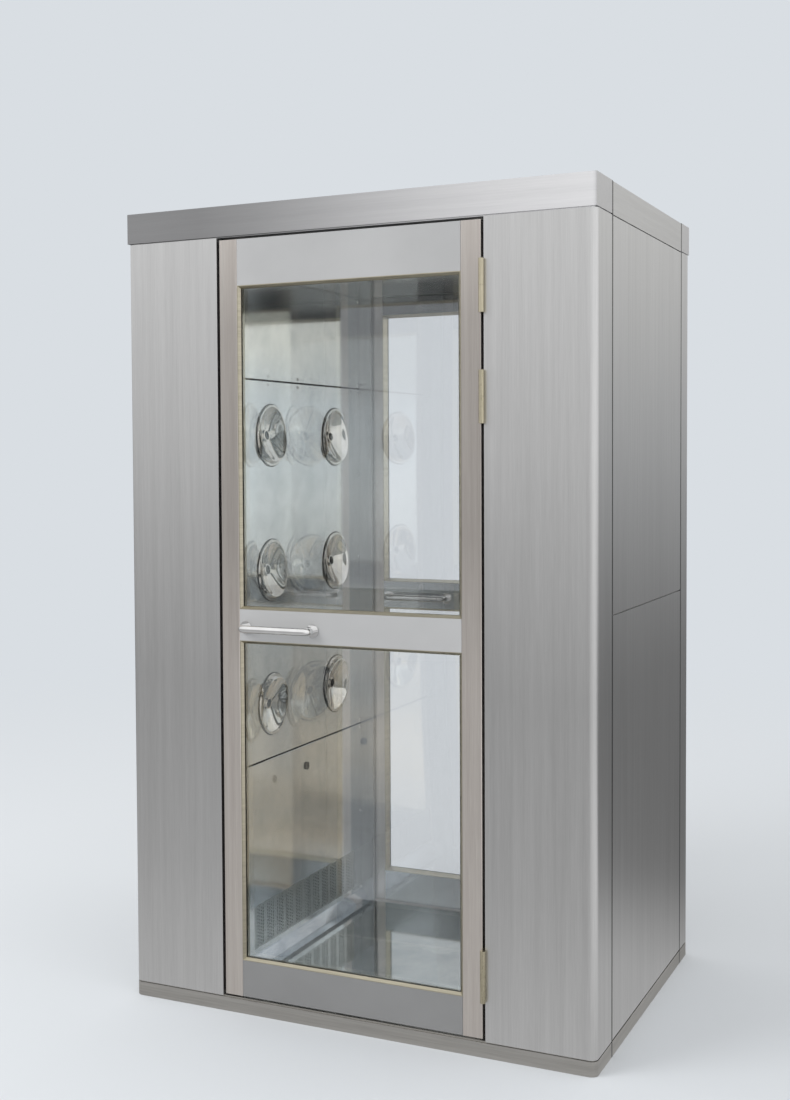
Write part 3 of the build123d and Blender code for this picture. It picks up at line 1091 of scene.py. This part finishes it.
# Outer panels mirror a floor that darkens from front to rear, with a light patch to the
# right of the cabin.
front_to_rear = add(
    floor_tree,
    "ShaderNodeMapRange",
    {"Value": floor_axes["Y"], "From Min": -OUTER_REACH, "From Max": OUTER_REACH},
)
outer_tone = add(
    floor_tree,
    "ShaderNodeValToRGB",
    {"Fac": front_to_rear.outputs["Result"]},
    stops=[(0.0, "A8A8A8"), (0.38, "BABABA"), (0.54, "B0B0B0"), (0.66, "6A6A6A"), (1.0, "5E5E5E")],
)
to_right = add(
    floor_tree,
    "ShaderNodeMapRange",
    {"Value": floor_axes["X"], "From Min": RIGHT_FROM, "From Max": RIGHT_TO},
)
to_front = add(
    floor_tree,
    "ShaderNodeMapRange",
    {"Value": floor_axes["Y"], "From Min": REAR_END, "From Max": FRONT_END},
)
on_right = add(
    floor_tree,
    "ShaderNodeMath",
    {0: to_right.outputs["Result"], 1: to_front.outputs["Result"]},
    operation="MULTIPLY",
)
outer_floor = add(
    floor_tree,
    "ShaderNodeMix",
    {0: on_right.outputs[0], 6: outer_tone.outputs["Color"], 7: linear("ECECEC")},
    data_type="RGBA",
)

# The chamber mirrors the floor behind the rear door, with cream patches 1 to 2 m away.
behind_middle = add(
    floor_tree,
    "ShaderNodeMapRange",
    {"Value": floor_axes["Y"], "From Min": 0.0, "From Max": CHAMBER_REACH},
)
chamber_floor = add(
    floor_tree,
    "ShaderNodeValToRGB",
    {"Fac": behind_middle.outputs["Result"]},
    stops=[
        (0.0, "808280"),
        (0.13, "A8A294"),
        (0.155, "C2B294"),
        (0.19, "E2D2B4"),
        (0.23, "D2C0A2"),
        (0.275, "ABA28C"),
        (0.325, "969284"),
        (0.385, "C8BEAC"),
        (0.525, "BFBFBA"),
        (0.8, "A7ABAA"),
    ],
)
mirrored_tone = add(
    floor_tree,
    "ShaderNodeMix",
    {0: through_pane, 6: outer_floor.outputs[2], 7: chamber_floor.outputs["Color"]},
    data_type="RGBA",
)
mirrored = add(
    floor_tree, "ShaderNodeEmission", {"Color": mirrored_tone.outputs[2], "Strength": gain}
)
in_mirror = add(
    floor_tree, "ShaderNodeMath", {0: path["Is Glossy Ray"], 1: bounced}, operation="MULTIPLY"
)
floor_shader = add(
    floor_tree,
    "ShaderNodeMixShader",
    {0: in_mirror.outputs[0], 1: seen_floor.outputs[0], 2: mirrored.outputs[0]},
)
add(floor_tree, "ShaderNodeOutputMaterial", {"Surface": floor_shader.outputs[0]})

deselect()
bpy.ops.mesh.primitive_circle_add(
    vertices=FLOOR_SIDES, radius=FLOOR_RADIUS, fill_type="NGON", location=(0, 0, -FLOOR_DROP)
)
floor = bpy.context.object
floor.name = "studio_floor"
settle(floor)
floor.data.materials.append(floor_material)

# Studio light
# A dome of soft light and one large lamp. The camera sees a plain backdrop, also through
# the panes. Outer panels mirror the dome's front, rear and right, and the chamber mirrors
# a view of its own.

# Shares of the unit direction at which one side of the dome blends into the next.
REAR_BLEND = (-0.1, 0.7)
RIGHT_BLEND = (0.45, 0.75)
CHAMBER_BLEND = (-0.2, 0.2)
WINDOW_EDGE = (0.462, 0.474)

world = bpy.data.worlds.new("studio")
bpy.context.scene.world = world
world.use_nodes = True
world.node_tree.nodes.clear()
sky = world.node_tree
path, through_pane, bounced, gain = ray_history(sky)
direction = add(sky, "ShaderNodeTexCoord").outputs["Generated"]
dome = add(sky, "ShaderNodeSeparateXYZ", {"Vector": direction}).outputs
up = add(sky, "ShaderNodeMapRange", {"Value": dome["Z"], "From Min": -1.0}).outputs["Result"]


def blend(axis, ends, before, after):
    """One side of the dome that turns into another along an axis."""
    share = add(
        sky, "ShaderNodeMapRange", {"Value": dome[axis], "From Min": ends[0], "From Max": ends[1]}
    )
    return add(
        sky, "ShaderNodeMix", {0: share.outputs["Result"], 6: before, 7: after}, data_type="RGBA"
    ).outputs[2]


# Each side's tones from straight down (0) over level (0.5) to straight up (1).
dome_tones = {
    "front": [
        (0.0, "A0A0A0"),
        (0.44, "A6A6A6"),
        (0.5, "BEBEBE"),
        (0.56, "F0F0F0"),
        (0.62, "FFFFFF"),
        (1.0, "FFFFFF"),
    ],
    "rear": [
        (0.0, "5A5A5A"),
        (0.45, "707070"),
        (0.51, "9EA0A2"),
        (0.57, "D8D7D4"),
        (0.66, "E6E6E4"),
        (1.0, "E0E0E0"),
    ],
    "right": [(0.0, "E0E0E0"), (0.44, "ECECEC"), (0.5, "FFFFFF"), (1.0, "FFFFFF")],
    "chamber_front": [
        (0.0, "6A6A66"),
        (0.44, "747470"),
        (0.5, "8C9090"),
        (0.56, "6C6E6E"),
        (1.0, "5A5C5C"),
    ],
    "window_light": [
        (0.46, "C0C4C0"),
        (0.475, "DDE3DF"),
        (0.516, "DCE7E9"),
        (0.524, "FFFEEA"),
        (0.562, "FFFEEC"),
        (0.58, "C4CCD2"),
        (0.62, "5E6E7A"),
        (1.0, "586670"),
    ],
    "window_shade": [
        (0.46, "C0C4C0"),
        (0.475, "DDE3DF"),
        (0.519, "D6E0E2"),
        (0.53, "909798"),
        (0.6, "888F90"),
    ],
}
sides = {
    name: add(sky, "ShaderNodeValToRGB", {"Fac": up}, stops=stops).outputs["Color"]
    for name, stops in dome_tones.items()
}
length = blend("Y", REAR_BLEND, sides["front"], sides["rear"])
outer_view = blend("X", RIGHT_BLEND, length, sides["right"])
window = blend("X", WINDOW_EDGE, sides["window_light"], sides["window_shade"])
chamber_view = blend("Y", CHAMBER_BLEND, sides["chamber_front"], window)
mirrored_view = add(
    sky, "ShaderNodeMix", {0: through_pane, 6: outer_view, 7: chamber_view}, data_type="RGBA"
)
lit = add(sky, "ShaderNodeBackground", {"Color": mirrored_view.outputs[2], "Strength": gain})
plain = add(sky, "ShaderNodeBackground", {"Color": linear(BACKDROP), "Strength": 1.0})
looking = add(
    sky,
    "ShaderNodeMath",
    {0: path["Is Camera Ray"], 1: path["Is Transmission Ray"]},
    operation="MAXIMUM",
)
unbounced = add(sky, "ShaderNodeMath", {0: 1.0, 1: bounced}, operation="SUBTRACT")
direct = add(
    sky, "ShaderNodeMath", {0: looking.outputs[0], 1: unbounced.outputs[0]}, operation="MULTIPLY"
)
seen_sky = add(
    sky, "ShaderNodeMixShader", {0: direct.outputs[0], 1: lit.outputs[0], 2: plain.outputs[0]}
)
add(sky, "ShaderNodeOutputWorld", {"Surface": seen_sky.outputs[0]})

SOFTBOX_PLACE = (-3.2, -4.2, 4.2)
SOFTBOX_AIM = (0, 0, 1.0)
SOFTBOX_SIZE = 3.0
SOFTBOX_WATTS = 110

lamp = bpy.data.lights.new("key_softbox", "AREA")
lamp.shape = "SQUARE"
lamp.size = SOFTBOX_SIZE
lamp.energy = SOFTBOX_WATTS
softbox = bpy.data.objects.new("key_softbox", lamp)
softbox.location = SOFTBOX_PLACE
towards = Vector(SOFTBOX_AIM) - Vector(SOFTBOX_PLACE)
softbox.rotation_euler = towards.to_track_quat("-Z", "Y").to_euler()
softbox.visible_glossy = False
bpy.context.scene.collection.objects.link(softbox)

# Camera
# It stands where the photographer stood, as solved from the cabin's edges in the photo.
# Angles are in radians, and the picture is off its centre as the photo is.
CAMERA_PLACE = (1.5925, -3.9362, 1.4868)
CAMERA_YAW = 0.4681
CAMERA_PITCH = -0.0394
CAMERA_ROLL = -0.0074
SENSOR_WIDTH = 36.0
FOCAL_PIXELS = 1486.5
IMAGE_WIDTH = 790
IMAGE_HEIGHT = 1100
CENTRE_PIXEL = (295.0, 516.0)

camera = bpy.data.objects.new("photo_camera", bpy.data.cameras.new("photo_camera"))
bpy.context.scene.collection.objects.link(camera)
camera.matrix_world = (
    Matrix.Translation(CAMERA_PLACE)
    @ Matrix.Rotation(CAMERA_YAW, 4, "Z")
    @ Matrix.Rotation(math.pi / 2 + CAMERA_PITCH, 4, "X")
    @ Matrix.Rotation(CAMERA_ROLL, 4, "Z")
)
lens = camera.data
lens.sensor_fit = "AUTO"
lens.sensor_width = SENSOR_WIDTH
lens.lens = SENSOR_WIDTH * FOCAL_PIXELS / IMAGE_HEIGHT
lens.shift_x = (IMAGE_WIDTH / 2 - CENTRE_PIXEL[0]) / IMAGE_HEIGHT
lens.shift_y = -(IMAGE_HEIGHT / 2 - CENTRE_PIXEL[1]) / IMAGE_HEIGHT
lens.dof.use_dof = False
bpy.context.scene.camera = camera
bpy.context.scene.view_settings.view_transform = "Standard"
